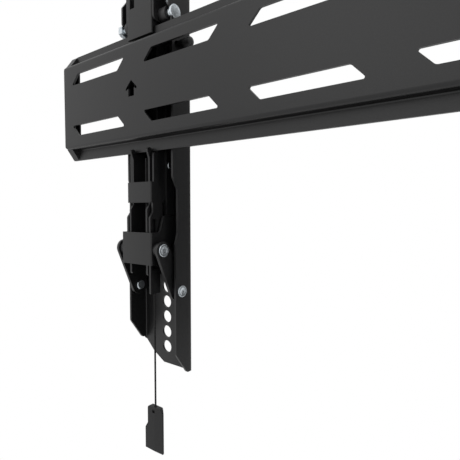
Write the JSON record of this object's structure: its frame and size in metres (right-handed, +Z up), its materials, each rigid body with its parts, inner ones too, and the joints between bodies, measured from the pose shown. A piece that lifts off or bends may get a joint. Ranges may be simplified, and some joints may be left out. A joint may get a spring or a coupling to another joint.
{
  "type": "tilting tv wall mount",
  "caption": "Black steel TV wall mount: a slotted wall rail and two hook-on tilting arms with pull-cord latches.",
  "frame": {"origin": "middle of the wall rail's back face, on the wall", "axes": "X along the rail, to the left for someone who faces the wall, Y from the wall towards the television, Z up"},
  "size_m": [0.61, 0.0359, 0.544],
  "materials": {
    "powder_black": "satin black powder coat",
    "zinc_plate": "bright zinc plate",
    "blackened_steel": "blackened steel",
    "spring_wire": "drawn spring wire",
    "moulded_black": "fine textured black moulding",
    "soft_tab": "soft black moulding",
    "braided_cord": "black braided cord"
  },
  "bodies": {
    "rail": {"wall_rail": "powder_black", "end_cap_left": "moulded_black", "end_cap_right": "moulded_black"},
    "left_carrier": {"left_hook_bracket": "powder_black", "left_inner_channel": "powder_black", "left_channel_rivets": "zinc_plate", "left_pivot_bolt": "zinc_plate", "left_pivot_nut": "zinc_plate", "left_friction_washers": "moulded_black", "left_pivot_bushes": "zinc_plate", "left_lock_nut": "zinc_plate", "left_latch_spring": "spring_wire"},
    "left_tilt_frame": {"left_tv_bracket": "powder_black", "left_lever_rivets": "zinc_plate"},
    "left_stay": {"left_outer_stay_lever": "powder_black", "left_inner_stay_lever": "powder_black"},
    "left_runner": {"left_stay_carriage": "powder_black", "left_carriage_rivets": "zinc_plate", "left_lever_washers": "moulded_black"},
    "left_latch": {"left_latch_slider": "powder_black", "left_pull_cord": "braided_cord", "left_cord_knot": "braided_cord", "left_pull_tab": "soft_tab"},
    "left_lock": {"left_lock_screw": "blackened_steel"},
    "right_carrier": {"right_hook_bracket": "powder_black", "right_inner_channel": "powder_black", "right_channel_rivets": "zinc_plate", "right_pivot_bolt": "zinc_plate", "right_pivot_nut": "zinc_plate", "right_friction_washers": "moulded_black", "right_pivot_bushes": "zinc_plate", "right_lock_nut": "zinc_plate", "right_latch_spring": "spring_wire"},
    "right_tilt_frame": {"right_tv_bracket": "powder_black", "right_lever_rivets": "zinc_plate"},
    "right_stay": {"right_outer_stay_lever": "powder_black", "right_inner_stay_lever": "powder_black"},
    "right_runner": {"right_stay_carriage": "powder_black", "right_carriage_rivets": "zinc_plate", "right_lever_washers": "moulded_black"},
    "right_latch": {"right_latch_slider": "powder_black", "right_pull_cord": "braided_cord", "right_cord_knot": "braided_cord", "right_pull_tab": "soft_tab"},
    "right_lock": {"right_lock_screw": "blackened_steel"}
  },
  "joints": [
    {"name": "left_along_rail", "type": "slide", "parent": "rail", "child": "left_carrier", "axis": [1, 0, 0], "range_m": [-0.065, 0.15]},
    {"name": "left_tilt", "type": "hinge", "parent": "left_carrier", "child": "left_tilt_frame", "pos_m": [-0.202, 0.0164, 0.0585], "axis": [1, 0, 0], "range_deg": [0, 4.5]},
    {"name": "left_stay_swing", "type": "hinge", "parent": "left_tilt_frame", "child": "left_stay", "pos_m": [-0.202, 0.0232, -0.1636], "axis": [1, 0, 0], "range_deg": [0, 29.2]},
    {"name": "left_runner_drop", "type": "slide", "parent": "left_carrier", "child": "left_runner", "axis": [0, 0, 1], "range_m": [-0.01296, 0]},
    {"name": "left_latch_pull", "type": "slide", "parent": "left_carrier", "child": "left_latch", "axis": [0, 0, 1], "range_m": [-0.01, 0], "stiffness_N_per_m": 400, "springref_m": 0.005, "deforming": ["left_latch_spring"]},
    {"name": "left_lock_turn", "type": "hinge", "parent": "left_carrier", "child": "left_lock", "pos_m": [-0.202, 0.0228, 0.0352], "axis": [1, 0, 0], "range_deg": [0, 360]},
    {"name": "right_along_rail", "type": "slide", "parent": "rail", "child": "right_carrier", "axis": [1, 0, 0], "range_m": [-0.15, 0.07]},
    {"name": "right_tilt", "type": "hinge", "parent": "right_carrier", "child": "right_tilt_frame", "pos_m": [0.198, 0.0164, 0.0585], "axis": [1, 0, 0], "range_deg": [0, 4.5]},
    {"name": "right_stay_swing", "type": "hinge", "parent": "right_tilt_frame", "child": "right_stay", "pos_m": [0.198, 0.0232, -0.1636], "axis": [1, 0, 0], "range_deg": [0, 29.2]},
    {"name": "right_runner_drop", "type": "slide", "parent": "right_carrier", "child": "right_runner", "axis": [0, 0, 1], "range_m": [-0.01296, 0]},
    {"name": "right_latch_pull", "type": "slide", "parent": "right_carrier", "child": "right_latch", "axis": [0, 0, 1], "range_m": [-0.01, 0], "stiffness_N_per_m": 400, "springref_m": 0.005, "deforming": ["right_latch_spring"]},
    {"name": "right_lock_turn", "type": "hinge", "parent": "right_carrier", "child": "right_lock", "pos_m": [0.198, 0.0228, 0.0352], "axis": [1, 0, 0], "range_deg": [0, 360]}
  ],
  "couplings": [
    {"joint": "left_stay_swing", "follows": "left_tilt", "ratio": 6.4866},
    {"joint": "left_runner_drop", "follows": "left_tilt", "m_per_rad": -0.16494},
    {"joint": "right_stay_swing", "follows": "right_tilt", "ratio": 6.4866},
    {"joint": "right_runner_drop", "follows": "right_tilt", "m_per_rad": -0.16494}
  ]
}
